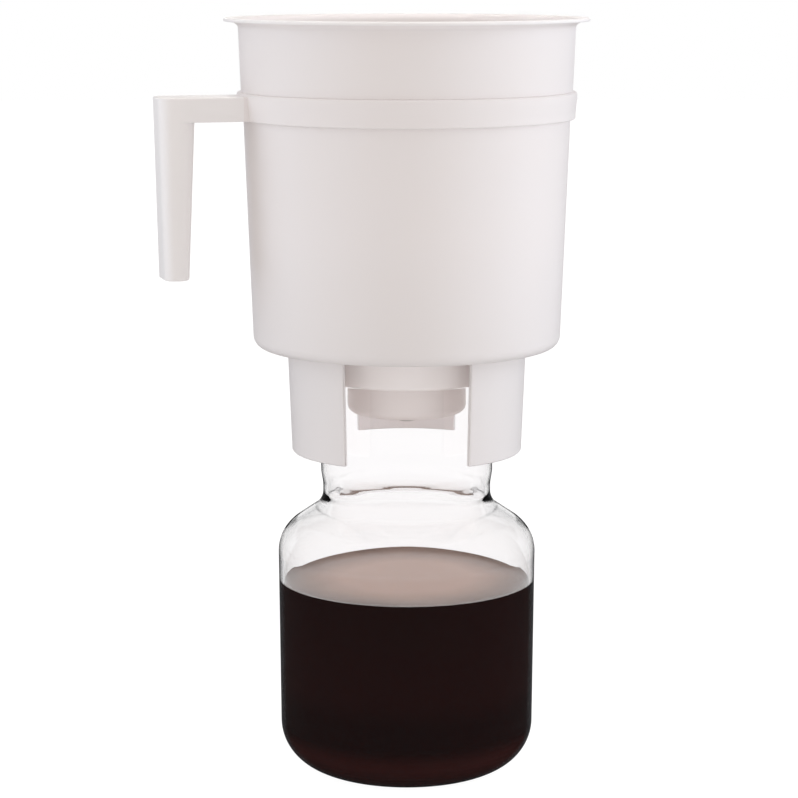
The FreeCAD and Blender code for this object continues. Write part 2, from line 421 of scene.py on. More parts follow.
def block(name, centre, size):
    """Add a box by its centre and size in millimetres and leave it in edit mode."""
    deselect_all()
    bpy.ops.mesh.primitive_cube_add(
        size=MM, location=[part * MM for part in centre], scale=size)
    piece = named(bpy.context.object, name)
    bpy.ops.object.transform_apply(location=True, rotation=True, scale=True)
    bpy.ops.object.mode_set(mode="EDIT")
    return piece


def select_faces(piece, test):
    """Select the faces that pass a test, in edit mode."""
    bpy.ops.mesh.select_mode(type="FACE")
    bpy.ops.mesh.select_all(action="DESELECT")
    mesh = bmesh.from_edit_mesh(piece.data)
    for face in mesh.faces:
        face.select_set(test(face))
    bmesh.update_edit_mesh(piece.data)


def select_edges(piece, test):
    """Select the edges that pass a test, in edit mode."""
    bpy.ops.mesh.select_mode(type="EDGE")
    bpy.ops.mesh.select_all(action="DESELECT")
    mesh = bmesh.from_edit_mesh(piece.data)
    for edge in mesh.edges:
        edge.select_set(len(edge.link_faces) == 2 and test(edge))
    bmesh.update_edit_mesh(piece.data)


def middle(edge):
    """Middle of an edge."""
    return (edge.verts[0].co + edge.verts[1].co) / 2


def radius_of(point):
    """Distance of a point from the Z axis."""
    return math.hypot(point.x, point.y)


def bevel(width, segments):
    """Round the selected edges."""
    bpy.ops.mesh.bevel(offset=width * MM, segments=segments, profile=0.5, affect="EDGES")


def join_solid(piece, other):
    """Unite another closed solid with the piece and delete it."""
    only(piece)
    bpy.ops.object.modifier_add(type="BOOLEAN")
    union = piece.modifiers[-1]
    union.operation = "UNION"
    union.solver = "EXACT"
    union.object = other
    bpy.ops.object.modifier_apply(modifier=union.name)
    only(other)
    bpy.ops.object.delete()
    only(piece)


def turn_piece(piece, degrees):
    """Turn a piece about the Z axis, in its mesh."""
    only(piece)
    piece.rotation_euler.z = math.radians(degrees)
    bpy.ops.object.transform_apply(location=False, rotation=True, scale=False)


def finish_piece(piece, material, body, nodes):
    """Smooth the piece, give it its finish and set it on its body in place of its solid."""
    only(piece)
    bpy.ops.object.shade_smooth_by_angle(angle=SMOOTH_ANGLE)
    if material is not None:
        piece.data.materials.clear()
        piece.data.materials.append(material)
    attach(piece, body)
    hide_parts(*nodes)
    deselect_all()


# ---------------------------------------------------------------- shader helpers


def feed(tree, node, inputs):
    """Link each of a node's inputs to a socket, or set it to a value."""
    for key, value in inputs.items():
        if isinstance(value, bpy.types.NodeSocket):
            tree.links.new(value, node.inputs[key])
        else:
            node.inputs[key].default_value = value


def place(tree, kind, inputs=None, **settings):
    """Add a node with its own settings and feed its inputs."""
    node = tree.nodes.new(kind)
    for key, value in settings.items():
        setattr(node, key, value)
    feed(tree, node, inputs or {})
    return node


def math_of(tree, operation, *values):
    """Result of a math node."""
    return place(tree, "ShaderNodeMath", dict(enumerate(values)), operation=operation).outputs[0]


def vector_of(tree, operation, output, *values):
    """Result of a vector math node, from its output called Vector or Value."""
    node = place(tree, "ShaderNodeVectorMath", dict(enumerate(values)), operation=operation)
    return node.outputs[output]


def part_of(tree, vector, axis):
    """One component of a vector."""
    return place(tree, "ShaderNodeSeparateXYZ", {0: vector}).outputs[axis]


def axis_distance(tree, coords, shift=0.0):
    """Distance of a point from the Z axis, or from that axis moved by a shift towards +Y."""
    flat = vector_of(tree, "MULTIPLY_ADD", "Vector", coords, (1, 1, 0), (0, -shift * MM, 0))
    return vector_of(tree, "LENGTH", "Value", flat)


def mapped(tree, source, start=0.0, end=1.0, low=0.0, high=1.0):
    """Map a value from start..end to low..high, held at both ends."""
    return place(tree, "ShaderNodeMapRange", {
        "Value": source, "From Min": start, "From Max": end, "To Min": low, "To Max": high,
    }).outputs["Result"]


def noise(tree, coords, scale, detail, roughness=0.5, distortion=0.0):
    """Value of a noise texture."""
    return place(tree, "ShaderNodeTexNoise", {
        "Vector": coords, "Scale": scale, "Detail": detail, "Roughness": roughness,
        "Distortion": distortion,
    }).outputs["Fac"]


def mixed_colour(tree, factor, first, second, blend="MIX"):
    """Mix two colours, each a socket or three numbers, by a mask."""
    first, second = (
        colour if isinstance(colour, bpy.types.NodeSocket) else (*colour, 1)
        for colour in (first, second))
    return place(tree, "ShaderNodeMix", {"Factor": factor, "A": first, "B": second},
                 data_type="RGBA", blend_type=blend).outputs["Result"]


def colour_ramp(tree, factor, stops, interpolation="LINEAR"):
    """Colour from a ramp. A stop is (position, colour)."""
    node = place(tree, "ShaderNodeValToRGB", {"Fac": factor})
    ramp = node.color_ramp
    ramp.interpolation = interpolation
    for position, _ in stops[1:-1]:
        ramp.elements.new(position)
    for element, (position, colour) in zip(ramp.elements, stops):
        element.position = position
        element.color = (*colour, 1)
    return node.outputs["Color"]


def mixed_shader(tree, factor, first, second):
    """Mix two shaders by a mask."""
    return place(tree, "ShaderNodeMixShader", {"Fac": factor, 1: first, 2: second}).outputs[0]


def bump(tree, height, distance, strength):
    """Normal bumped by a height mask, up to a distance in millimetres."""
    return place(tree, "ShaderNodeBump", {
        "Height": height, "Distance": distance * MM, "Strength": strength}).outputs["Normal"]


def place_group(tree, group, coords):
    """Place a node group on a material's coordinates."""
    node = place(tree, "ShaderNodeGroup", node_tree=group)
    feed(tree, node, {"Vector": coords})
    return node


def toned(colour, shares):
    """A colour with a share of each of its parts."""
    return tuple(min(1.0, part * share) for part, share in zip(colour, shares))


def shade(colour, share):
    """A colour made lighter or darker."""
    return toned(colour, (share, share, share))


def new_group(name, inputs, outputs):
    """Shader node group with named sockets. An input is (name, kind, default)."""
    group = bpy.data.node_groups.new(name, "ShaderNodeTree")
    for label, kind, default in inputs:
        socket = group.interface.new_socket(name=label, in_out="INPUT", socket_type=kind)
        if default is not None:
            socket.default_value = default
    for label, kind in outputs:
        group.interface.new_socket(name=label, in_out="OUTPUT", socket_type=kind)
    return group, group.nodes.new("NodeGroupInput").outputs, group.nodes.new("NodeGroupOutput")


def moulded_grain_group():
    """Fine orange peel of a polished mould over slow, broad waves, and a soft mottle."""
    group, given, made = new_group(
        "moulded_grain",
        [("Vector", "NodeSocketVector", None), ("Peel Scale", "NodeSocketFloat", 900.0),
         ("Wave Scale", "NodeSocketFloat", 28.0)],
        [("Height", "NodeSocketFloat"), ("Mottle", "NodeSocketFloat")])
    peel = noise(group, given["Vector"], given["Peel Scale"], detail=3.0, roughness=0.55)
    wave = noise(group, given["Vector"], given["Wave Scale"], detail=1.5, roughness=0.4)
    height = math_of(group, "ADD", math_of(group, "MULTIPLY", peel, PEEL_SHARE), wave)
    mottle = noise(group, given["Vector"], scale=14.0, detail=5.0, roughness=0.6)
    feed(group, made, {"Height": height, "Mottle": mottle})
    return group


def edge_wear_group():
    """Mask of the rubbed outer edges, broken up by noise."""
    group, given, made = new_group(
        "edge_wear",
        [("Vector", "NodeSocketVector", None), ("Start", "NodeSocketFloat", 0.52),
         ("Full", "NodeSocketFloat", 0.6)],
        [("Mask", "NodeSocketFloat")])
    pointiness = place(group, "ShaderNodeNewGeometry").outputs["Pointiness"]
    edges = mapped(group, pointiness, given["Start"], given["Full"])
    speckle = noise(group, given["Vector"], scale=160.0, detail=4.0)
    specks = mapped(group, speckle, start=0.4, end=0.65)
    feed(group, made, {"Mask": math_of(group, "MULTIPLY", edges, specks)})
    return group


def fresh_tree(owner, output):
    """Emptied node tree of a material or a world, with its output node."""
    owner.use_nodes = True
    tree = owner.node_tree
    tree.nodes.clear()
    return tree, place(tree, output)


def new_material(name):
    """Material with a Principled shader and Object coordinates; all other nodes removed."""
    material = bpy.data.materials.new(name)
    tree, out = fresh_tree(material, "ShaderNodeOutputMaterial")
    shader = place(tree, "ShaderNodeBsdfPrincipled")
    feed(tree, out, {"Surface": shader.outputs["BSDF"]})
    coords = place(tree, "ShaderNodeTexCoord").outputs["Object"]
    return material, tree, shader, out, coords


# ---------------------------------------------------------------- finishes


def painted_light_and_shade_masks(tree, coords):
    """Masks of painted shade low down on the outside, and of painted light inside the skirt and
    out at the lever.
    """
    height = part_of(tree, coords, "Z")
    reach = axis_distance(tree, coords)
    outside = math_of(tree, "GREATER_THAN", reach, SKIRT_INSIDE * MM)
    inside = math_of(tree, "LESS_THAN", reach, SKIRT_INSIDE * MM)
    fade = mapped(tree, height, LOW_FADE_START * MM, FLOOR_HEIGHT * MM)
    under = math_of(tree, "LESS_THAN", height, FLOOR_HEIGHT * MM)
    return (math_of(tree, "MULTIPLY", outside, fade), math_of(tree, "MULTIPLY", inside, under),
            math_of(tree, "GREATER_THAN", reach, LEVER_START * MM))


def moulded_plastic(name, finishes, grain, wear):
    """White moulded plastic: satin, faintly mottled, a little polished along its edges, with
    painted shade and light.
    """
    material, tree, shader, _, coords = new_material(name)
    base = finishes.plastic
    rough = finishes.plastic_roughness
    grained = place_group(tree, grain, coords).outputs
    rubbed = place_group(tree, wear, coords).outputs
    colour = mixed_colour(
        tree, grained["Mottle"], toned(base, PLASTIC_WARM), toned(base, PLASTIC_COOL))
    # Painted shade low down outside; painted light inside the skirt and out at the lever
    painted_tones = (shade(base, LOW_PAINTED_SHADE), shade(base, INSIDE_PAINTED_LIGHT), toned(base, LEVER_PAINTED_LIGHT))
    for mask, tone in zip(painted_light_and_shade_masks(tree, coords), painted_tones):
        colour = mixed_colour(tree, mask, colour, tone)
    uneven = mapped(
        tree, grained["Mottle"], low=rough - PLASTIC_UNEVEN, high=rough + PLASTIC_UNEVEN)
    gloss = place(tree, "ShaderNodeMix", {
        "Factor": rubbed["Mask"], "A": uneven, "B": rough - PLASTIC_POLISH}, data_type="FLOAT")
    feed(tree, shader, {
        "Base Color": colour, "Roughness": gloss.outputs["Result"], "IOR": 1.45,
        "Normal": bump(tree, grained["Height"], distance=0.04, strength=0.5)})
    return material


def outer_wall_mask(tree, coords):
    """Where the glass's painted dark edge goes: 1 on upright walls that turn away from the piece's
    axis, less on slopes that look up.
    """
    normal = place(tree, "ShaderNodeTexCoord").outputs["Normal"]
    away = vector_of(tree, "MULTIPLY", "Vector", coords, (1, 1, 0))
    turn = vector_of(tree, "DOT_PRODUCT", "Value", away, normal)
    outside = math_of(tree, "GREATER_THAN", turn, 0.0)
    upright = mapped(tree, part_of(tree, normal, "Z"), *WALL_SLOPES, *SLOPE_SHARES)
    return math_of(tree, "MULTIPLY", outside, upright)


def clear_glass(finishes):
    """Clear glass with a painted dark edge where it is seen edge on, and that lets the lamps
    through.
    """
    material, tree, shader, out, coords = new_material("clear_glass")
    seed = noise(tree, coords, scale=9.0, detail=1.0)
    feed(tree, shader, {
        "Base Color": mixed_colour(tree, seed, *GLASS_TINTS), "Roughness": 0.0, "IOR": 1.5,
        "Transmission Weight": 1.0, "Normal": bump(tree, seed, distance=0.15, strength=0.3)})
    # Painted shade: a dark sheet mixed in where the glass is seen edge on
    edge = place(tree, "ShaderNodeBsdfPrincipled", {
        "Base Color": (*finishes.glass_edge_shade, 1), "Roughness": 0.6, "Specular IOR Level": 0.1})
    facing = place(tree, "ShaderNodeLayerWeight", {"Blend": 0.5}).outputs["Facing"]
    edge_on = mapped(tree, facing, *GLASS_EDGE_FADE, high=GLASS_EDGE_SHARE)
    painted_edge_mask = math_of(tree, "MULTIPLY", edge_on, outer_wall_mask(tree, coords))
    rimmed = mixed_shader(tree, painted_edge_mask, shader.outputs["BSDF"], edge.outputs["BSDF"])
    clear = place(tree, "ShaderNodeBsdfTransparent", {"Color": GLASS_CLEAR}).outputs["BSDF"]
    path = place(tree, "ShaderNodeLightPath").outputs
    lighting = math_of(tree, "MAXIMUM", path["Is Shadow Ray"], path["Is Diffuse Ray"])
    feed(tree, out, {"Surface": mixed_shader(tree, lighting, rimmed, clear)})
    return material


def brewed_coffee(finishes):
    """Dark coffee against the glass: nearly black, with painted light that makes it redder low
    down where it is thin.
    """
    material, tree, shader, _, coords = new_material("brewed_coffee")
    height = mapped(tree, part_of(tree, coords, "Z"), end=COFFEE_TOP * MM)
    # Painted light and shade by height: lighter and redder low down, darker a little above that
    stops = [(position, shade(finishes.coffee, share)) for position, share in COFFEE_PAINTED_GLOW]
    painted_glow = colour_ramp(tree, height, stops, "EASE")
    cloud = noise(tree, coords, scale=26.0, detail=4.0, roughness=0.6)
    cloudy = mixed_colour(tree, cloud, *COFFEE_CLOUDS)
    feed(tree, shader, {
        "Base Color": mixed_colour(tree, 1.0, painted_glow, cloudy, blend="MULTIPLY"),
        "Roughness": 0.12, "IOR": 1.13})
    return material


def coffee_surface(finishes):
    """Still surface of the coffee: mirror-like, with painted light that makes it browner in the
    middle than at the glass.
    """
    material, tree, shader, _, coords = new_material("coffee_surface")
    cloud = noise(tree, coords, scale=24.0, detail=4.0, distortion=0.8)
    # Painted light: its middle lies behind the axis, its edge wanders, and it is darker at the
    # glass
    wander = math_of(tree, "MULTIPLY_ADD", cloud, 2 * SURFACE_LIGHT_WANDER * MM, -SURFACE_LIGHT_WANDER * MM)
    radius = math_of(tree, "ADD", axis_distance(tree, coords, SURFACE_LIGHT_DRIFT), wander)
    share = mapped(tree, radius, SURFACE_LIGHT_START * MM, SURFACE_LIGHT_END * MM)
    rim = shade(finishes.coffee_surface_light, SURFACE_LIGHT_EDGE_SHADE)
    feed(tree, shader, {
        "Base Color": mixed_colour(tree, share, finishes.coffee_surface_light, rim),
        "Roughness": mapped(tree, cloud, low=0.12, high=0.2), "IOR": 1.25})
    return material


def pressed_felt(finishes):
    """Wool felt: matted fibres, cloudy colour and a soft sheen."""
    material, tree, shader, _, coords = new_material("pressed_felt")
    base = finishes.felt
    stretch = place(tree, "ShaderNodeMapping", {"Vector": coords, "Scale": (1.0, 0.45, 1.0)})
    fibre = noise(
        tree, stretch.outputs["Vector"], scale=1400.0, detail=4.0, distortion=2.5)
    cloud = noise(tree, coords, scale=90.0, detail=5.0, roughness=0.65)
    both = math_of(tree, "MULTIPLY", fibre, cloud)
    blend = mapped(tree, both, low=-0.4, high=2.6)
    feed(tree, shader, {
        "Base Color": mixed_colour(tree, blend, shade(base, FELT_DARK), shade(base, FELT_LIGHT)),
        "Roughness": 0.95, "Sheen Weight": 0.4, "Sheen Roughness": 0.6,
        "Normal": bump(tree, both, distance=0.5, strength=0.8)})
    return material


def stopper_rubber(finishes):
    """Matte rubber with a fine grain and paler rubbed edges."""
    material, tree, shader, _, coords = new_material("stopper_rubber")
    base = finishes.rubber
    rubbed = place_group(tree, bpy.data.node_groups["edge_wear"], coords).outputs
    grain = noise(tree, coords, scale=1800.0, detail=3.0)
    feed(tree, shader, {
        "Base Color": mixed_colour(tree, rubbed["Mask"], base, shade(base, RUBBED_LIFT)),
        "Roughness": mapped(tree, grain, low=0.55, high=0.75),
        "Normal": bump(tree, grain, distance=0.05, strength=0.6)})
    return material


# ---------------------------------------------------------------- pieces


class BREWER_OT_decanter(bpy.types.Operator):
    """Clear glass decanter: round base corner, straight body, shoulder, waist and neck"""

    bl_idname = "brewer.decanter"
    bl_label = "Glass Decanter"

    def execute(self, context):
        sizes = context.scene.brewer_sizes
        wall = sizes.glass_wall / MM
        base = sizes.glass_base / MM
        radius = sizes.jar_radius / MM
        outer = [
            (0, JAR_PUNT, 0),
            (JAR_PUNT_RADIUS, JAR_PUNT, JAR_PUNT_ROUND),
            (JAR_FOOT_RADIUS, 0, JAR_FOOT_ROUND),
            (JAR_BASE_RADIUS, 0, JAR_CORNER),
            (radius, SHOULDER_HEIGHT, SHOULDER_ROUND),
            (WAIST_RADIUS, WAIST_HEIGHT, WAIST_ROUND),
            (WAIST_RADIUS, WAIST_TOP, NECK_ROUND),
            (NECK_RADIUS, NECK_HEIGHT, NECK_ROUND),
            (NECK_RADIUS, DECANTER_TOP, LIP_ROUND),
        ]
        inner = [
            (NECK_RADIUS - wall, DECANTER_TOP, LIP_ROUND),
            (NECK_RADIUS - wall, NECK_HEIGHT, NECK_ROUND),
            (WAIST_RADIUS - wall, WAIST_TOP, NECK_ROUND),
            (WAIST_RADIUS - wall, WAIST_HEIGHT - INNER_WAIST_DROP, INNER_WAIST_ROUND),
            (radius - wall, SHOULDER_HEIGHT - INNER_DROP, SHOULDER_ROUND),
            (JAR_BASE_RADIUS - wall, base, JAR_CORNER - wall),
            (0, base, 0),
        ]
        jar = turned("glass_decanter", outer + inner, arc_step=GLASS_ARC_STEP)
        finish_piece(jar, clear_glass(context.scene.brewer_finishes), "decanter_body",
                     ["decanter"])
        return {"FINISHED"}


class BREWER_OT_coffee(bpy.types.Operator):
    """Brewed coffee that fills the decanter's body and climbs a little at the glass"""

    bl_idname = "brewer.coffee"
    bl_label = "Coffee"

    def execute(self, context):
        sizes = context.scene.brewer_sizes
        finishes = context.scene.brewer_finishes
        skin = sizes.glass_wall / MM - WETTING
        low = sizes.glass_base / MM - WETTING
        level = sizes.coffee_level / MM
        slope = (sizes.jar_radius / MM - JAR_BASE_RADIUS) / (SHOULDER_HEIGHT - skin)
        edge = JAR_BASE_RADIUS + slope * level - skin
        corners = [
            (0, low, 0),
            (JAR_BASE_RADIUS - skin, low, JAR_CORNER - skin),
            (edge, level, 0),
        ]
        surface = level - MENISCUS_RISE
        for share in MENISCUS_POINTS:
            drop = MENISCUS_RISE * math.exp(-share)
            corners.append((edge - share * MENISCUS_REACH, surface + drop, 0))
        corners.append((0, surface, 0))
        coffee = turned("coffee_fill", corners)
        only(coffee)
        for material in (brewed_coffee(finishes), coffee_surface(finishes)):
            coffee.data.materials.append(material)
        coffee.active_material_index = 1
        bpy.ops.object.mode_set(mode="EDIT")
        select_faces(coffee, lambda face: face.normal.z > SURFACE_SLOPE)
        bpy.ops.object.material_slot_assign()
        bpy.ops.object.mode_set(mode="OBJECT")
        finish_piece(coffee, None, "decanter_body", ["coffee"])
        return {"FINISHED"}


class BREWER_OT_container(bpy.types.Operator):
    """White brewing container: chamber, flange, filter well, drain cup and skirt of legs"""

    bl_idname = "brewer.container"
    bl_label = "Brewing Container"

    def shell(self, wall):
        """Turned shell with an edge loop on each side of every leg's root."""
        flange_under = CONTAINER_TOP - FLANGE_THICKNESS
        leg_inner = SKIRT_TOP_RADIUS - wall
        outer = [
            (DRAIN_RADIUS, CUP_HEIGHT, FINE_ROUND),
            (CUP_RADIUS, CUP_HEIGHT, CUP_ROUND),
            (CUP_RADIUS, DECANTER_TOP, EDGE_ROUND),
            (WELL_RADIUS, DECANTER_TOP, WELL_ROUND),
            (WELL_RADIUS, FLOOR_HEIGHT, SOFT_ROUND),
            (leg_inner, FLOOR_HEIGHT, 0),
            (SKIRT_TOP_RADIUS, FLOOR_HEIGHT, 0),
            (FLOOR_RADIUS, FLOOR_HEIGHT, FLOOR_ROUND),
            (COLLAR_WALL_RADIUS, COLLAR_TOP, STEP_ROUND),
            (COLLAR_WALL_RADIUS + SHOULDER_STEP, COLLAR_TOP, STEP_ROUND),
            (RIM_NECK_RADIUS, RIM_NECK_HEIGHT, SOFT_ROUND),
            (RIM_NECK_RADIUS + FLANGE_FLARE, flange_under, SOFT_ROUND),
            (RIM_RADIUS, flange_under, FINE_ROUND),
            (RIM_RADIUS, CONTAINER_TOP, EDGE_ROUND),
        ]
        inner = [
            (RIM_NECK_RADIUS - wall + RIM_MOUTH_FLARE, CONTAINER_TOP, RIM_MOUTH_ROUND),
            (RIM_NECK_RADIUS - wall, RIM_MOUTH_HEIGHT, 0),
            (COLLAR_WALL_RADIUS - wall, COLLAR_TOP, 0),
            (FLOOR_RADIUS - wall, FLOOR_HEIGHT + wall, FLOOR_ROUND - wall),
            (WELL_RADIUS - wall, FLOOR_HEIGHT + wall, SOFT_ROUND),
            (WELL_RADIUS - wall, DECANTER_TOP + wall, EDGE_ROUND),
            (CUP_RADIUS - wall, DECANTER_TOP + wall, EDGE_ROUND),
            (CUP_RADIUS - wall, CUP_HEIGHT + wall, SOFT_ROUND),
            (DRAIN_RADIUS, CUP_HEIGHT + wall, FINE_ROUND),
        ]
        sector = ((WINDOW_ANGLE, WINDOW_STEPS), (LEG_SPACING - WINDOW_ANGLE, LEG_STEPS))
        return turned("container_moulding", outer + inner, closed=True, sectors=sector * LEGS)

    def is_leg_root(self, face, wall):
        """A face of the floor's underside between the leg's two radii and two sides."""
        centre = face.calc_center_median()
        span = math.degrees(math.atan2(centre.y, centre.x)) % LEG_SPACING
        inside = SKIRT_TOP_RADIUS - wall < radius_of(centre) / MM < SKIRT_TOP_RADIUS
        return (face.normal.z < DOWN and inside and span > WINDOW_ANGLE
                and abs(centre.z / MM - FLOOR_HEIGHT) < TOUCH)

    def draw_legs(self, shell, wall):
        """Extrude the legs down from the floor, draw them in and round their edges."""
        bpy.ops.object.mode_set(mode="EDIT")
        select_faces(shell, lambda face: self.is_leg_root(face, wall))
        shrink = SKIRT_FOOT_RADIUS / SKIRT_TOP_RADIUS
        drop = (SKIRT_FOOT - FLOOR_HEIGHT) * MM
        bpy.ops.mesh.extrude_region_move(TRANSFORM_OT_translate={"value": (0, 0, drop)})
        bpy.ops.transform.resize(value=(shrink, shrink, 1), center_override=(0, 0, 0))
        low = (SKIRT_FOOT_RADIUS - wall - MARGIN) * MM
        high = (SKIRT_TOP_RADIUS + MARGIN) * MM
        select_edges(shell, lambda edge: (
            edge.calc_face_angle() > SHARP
            and low < radius_of(middle(edge)) < high
            and middle(edge).z < (FLOOR_HEIGHT + NEAR) * MM))
        bevel(SKIRT_ROUND, segments=3)
        bpy.ops.object.mode_set(mode="OBJECT")

    def ribs(self, wall):
        """Radial ribs across the drain cup: one modelled, the others turned copies of it."""
        low = CUP_HEIGHT + wall / 2
        high = DECANTER_TOP + wall
        length = CUP_RADIUS - wall / 2 - RIB_START
        rib = block("rib", (RIB_START + length / 2, 0, (low + high) / 2),
                    (length, RIB_WIDTH, high - low))
        select_edges(rib, lambda edge: middle(edge).z > (high - NEAR) * MM)
        bevel(FINE_ROUND, segments=2)
        bpy.ops.object.mode_set(mode="OBJECT")
        copies = [rib]
        for index in range(1, RIBS):
            only(rib)
            bpy.ops.object.duplicate(linked=False)
            copies.append(bpy.context.object)
            turn_piece(copies[-1], 360.0 * index / RIBS)
        for copy in copies:
            copy.select_set(True)
        bpy.context.view_layer.objects.active = rib
        bpy.ops.object.join()
        return rib

    def execute(self, context):
        wall = context.scene.brewer_sizes.plastic_wall / MM
        shell = self.shell(wall)
        self.draw_legs(shell, wall)
        turn_piece(shell, FIRST_WINDOW - WINDOW_ANGLE / 2)
        join_solid(shell, self.ribs(wall))
        finish_piece(shell, bpy.data.materials["container_plastic"], "brewer_body",
                     ["brewing_container"])
        return {"FINISHED"}


class BREWER_OT_handle(bpy.types.Operator):
    """Collar ring with a ledge, a level arm and a hanging grip cored out from below"""

    bl_idname = "brewer.handle"
    bl_label = "Collar and Handle"

    def wall_radius(self, z):
        """Outer radius of the container's taper at a height."""
        slope = (COLLAR_WALL_RADIUS - FLOOR_RADIUS) / (COLLAR_TOP - FLOOR_HEIGHT)
        return FLOOR_RADIUS + slope * (z - FLOOR_HEIGHT)

    def ring(self):
        """Collar ring, a little wider over its eased ledge."""
        return turned("collar_handle", [
            (self.wall_radius(COLLAR_BOTTOM) + COLLAR_GAP, COLLAR_BOTTOM, COLLAR_INNER_ROUND),
            (COLLAR_LOWER_RADIUS, COLLAR_BOTTOM, EDGE_ROUND),
            (COLLAR_LOWER_RADIUS, COLLAR_LEDGE - COLLAR_EASE, COLLAR_EASE_ROUND),
            (COLLAR_RADIUS, COLLAR_LEDGE + COLLAR_EASE, COLLAR_EASE_ROUND),
            (COLLAR_RADIUS, COLLAR_TOP, COLLAR_TOP_ROUND),
            (self.wall_radius(COLLAR_TOP) + COLLAR_GAP, COLLAR_TOP, 0),
        ], closed=True)

    def grip(self, width):
        """Upright block, rounded along its four corners and drawn in towards its foot."""
        grip = block("grip", (GRIP_TOP_MIDDLE, 0, (ARM_TOP + GRIP_FOOT) / 2),
                     (GRIP_OUTER_TOP - GRIP_INNER_TOP, width, ARM_TOP - GRIP_FOOT))
        outer = (GRIP_OUTER_TOP - NEAR) * MM
        inner = (GRIP_INNER_TOP + NEAR) * MM
        select_edges(grip, lambda edge: self.is_upright(edge) and middle(edge).x > outer)
        bevel(GRIP_OUTER_ROUND, segments=12)
        select_edges(grip, lambda edge: self.is_upright(edge) and middle(edge).x < inner)
        bevel(GRIP_INNER_ROUND, segments=14)
        select_faces(grip, lambda face: face.normal.z < DOWN)
        draw_in = (GRIP_OUTER_FOOT - GRIP_INNER_FOOT) / (GRIP_OUTER_TOP - GRIP_INNER_TOP)
        bpy.ops.transform.translate(value=((GRIP_FOOT_MIDDLE - GRIP_TOP_MIDDLE) * MM, 0, 0))
        bpy.ops.transform.resize(
            value=(draw_in, 1, 1), center_override=(GRIP_FOOT_MIDDLE * MM, 0, GRIP_FOOT * MM))
        top, foot = (ARM_TOP - TOUCH) * MM, (GRIP_FOOT + TOUCH) * MM
        select_edges(
            grip, lambda edge: edge.calc_face_angle() > SHARP and middle(edge).z > top)
        bevel(ARM_ROUND, segments=4)
        select_edges(
            grip, lambda edge: edge.calc_face_angle() > SHARP and middle(edge).z < foot)
        bevel(FINE_ROUND, segments=3)
        self.core_grip(grip)
        bpy.ops.object.mode_set(mode="OBJECT")
        return grip

    def arm(self, width):
        """Level bar from inside the collar to inside the grip, a hair lower and narrower."""
        top = ARM_TOP - FLUSH
        arm = block("arm", ((ARM_START + ARM_END) / 2, 0, (top + ARM_BOTTOM) / 2),
                    (ARM_END - ARM_START, width - 2 * FLUSH, top - ARM_BOTTOM))
        side = (width / 2 - MARGIN) * MM
        high, low = (top - TOUCH) * MM, (ARM_BOTTOM + TOUCH) * MM
        select_edges(arm, lambda edge: abs(middle(edge).y) > side and middle(edge).z > high)
        bevel(ARM_ROUND, segments=4)
        select_edges(arm, lambda edge: abs(middle(edge).y) > side and middle(edge).z < low)
        bevel(FINE_ROUND, segments=3)
        bpy.ops.object.mode_set(mode="OBJECT")
        return arm

    def is_upright(self, edge):
        """An edge that runs up, or nearly so."""
        run = edge.verts[1].co - edge.verts[0].co
        return abs(run.z) > UPRIGHT * run.length

    def core_grip(self, grip):
        """Core the grip out from below, leaving an even wall."""
        select_faces(grip, lambda face: (
            face.normal.z < DOWN
            and face.calc_center_median().z < (GRIP_FOOT + TOUCH) * MM
            and face.calc_area() > GRIP_FOOT_AREA * MM * MM))
        bpy.ops.mesh.inset(thickness=(GRIP_WALL - FINE_ROUND) * MM)
        rise = (ARM_TOP - GRIP_WALL - GRIP_FOOT) * MM
        widen = ((GRIP_OUTER_TOP - GRIP_INNER_TOP - 2 * GRIP_WALL)
                 / (GRIP_OUTER_FOOT - GRIP_INNER_FOOT - 2 * GRIP_WALL))
        shift = (GRIP_TOP_MIDDLE - GRIP_FOOT_MIDDLE) * MM
        bpy.ops.mesh.extrude_region_move(TRANSFORM_OT_translate={"value": (shift, 0, rise)})
        bpy.ops.transform.resize(
            value=(widen, 1, 1),
            center_override=(GRIP_TOP_MIDDLE * MM, 0, (ARM_TOP - GRIP_WALL) * MM))

    def execute(self, context):
        width = context.scene.brewer_sizes.handle_width / MM
        lever = self.grip(width)
        join_solid(lever, self.arm(width))
        turn_piece(lever, HANDLE_DIRECTION)
        handle = self.ring()
        join_solid(handle, lever)
        finish_piece(handle, bpy.data.materials["handle_plastic"], "handle_body",
                     ["handle"])
        return {"FINISHED"}


class BREWER_OT_felt(bpy.types.Operator):
    """Thick felt disc with soft rims and an uneven, crowned face"""

    bl_idname = "brewer.felt"
    bl_label = "Felt Filter"

    def execute(self, context):
        crown = context.scene.brewer_sizes.felt_crown / MM
        radius = FELT_RADIUS - FELT_GAP
        high = FELT_HIGH - FELT_GAP
        corners = [
            (0, FELT_LOW, 0),
            (radius, FELT_LOW, FELT_LOW_ROUND),
            (radius, high - crown, FELT_HIGH_ROUND),
        ]
        for ring in range(1, FELT_RINGS):
            share = 1 - ring / FELT_RINGS
            corners.append((radius * FELT_FLAT * share, high - crown * share ** 2, 0))
        corners.append((0, high, 0))
        felt = turned("felt_disc", corners, sectors=((360.0, FELT_STEPS),))
        only(felt)
        rough = bpy.data.textures.new("felt_lumps", "CLOUDS")
        rough.noise_scale = FELT_LUMP_SIZE * MM
        bpy.ops.object.modifier_add(type="DISPLACE")
        lumps = felt.modifiers[-1]
        lumps.texture = rough
        lumps.strength = FELT_LUMP_DEPTH * MM
        lumps.mid_level = 1.0
        bpy.ops.object.modifier_apply(modifier=lumps.name)
        finish_piece(felt, pressed_felt(context.scene.brewer_finishes), "filter_body",
                     ["felt_filter"])
        return {"FINISHED"}


